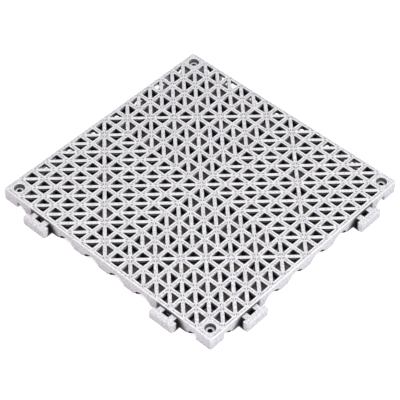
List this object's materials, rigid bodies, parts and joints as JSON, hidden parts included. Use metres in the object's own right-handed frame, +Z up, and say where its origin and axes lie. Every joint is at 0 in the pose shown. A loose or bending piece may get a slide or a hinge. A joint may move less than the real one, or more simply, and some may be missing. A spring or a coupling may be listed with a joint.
{
  "type": "garage floor tile",
  "caption": "Square open-grid floor tile with triangular drain openings, corner screw holes, and hooks and sockets that lock it to its neighbours.",
  "frame": {"origin": "centre of the corner screw-hole pattern on the floor plane", "axes": "+Z up out of the walking surface, X and Y along the sides, hooks on the -Y and +X sides"},
  "size_m": [0.317, 0.317, 0.0159],
  "materials": {
    "plastic": "matt, slightly mottled"
  },
  "bodies": {
    "root": {"tile": "plastic"}
  },
  "joints": []
}
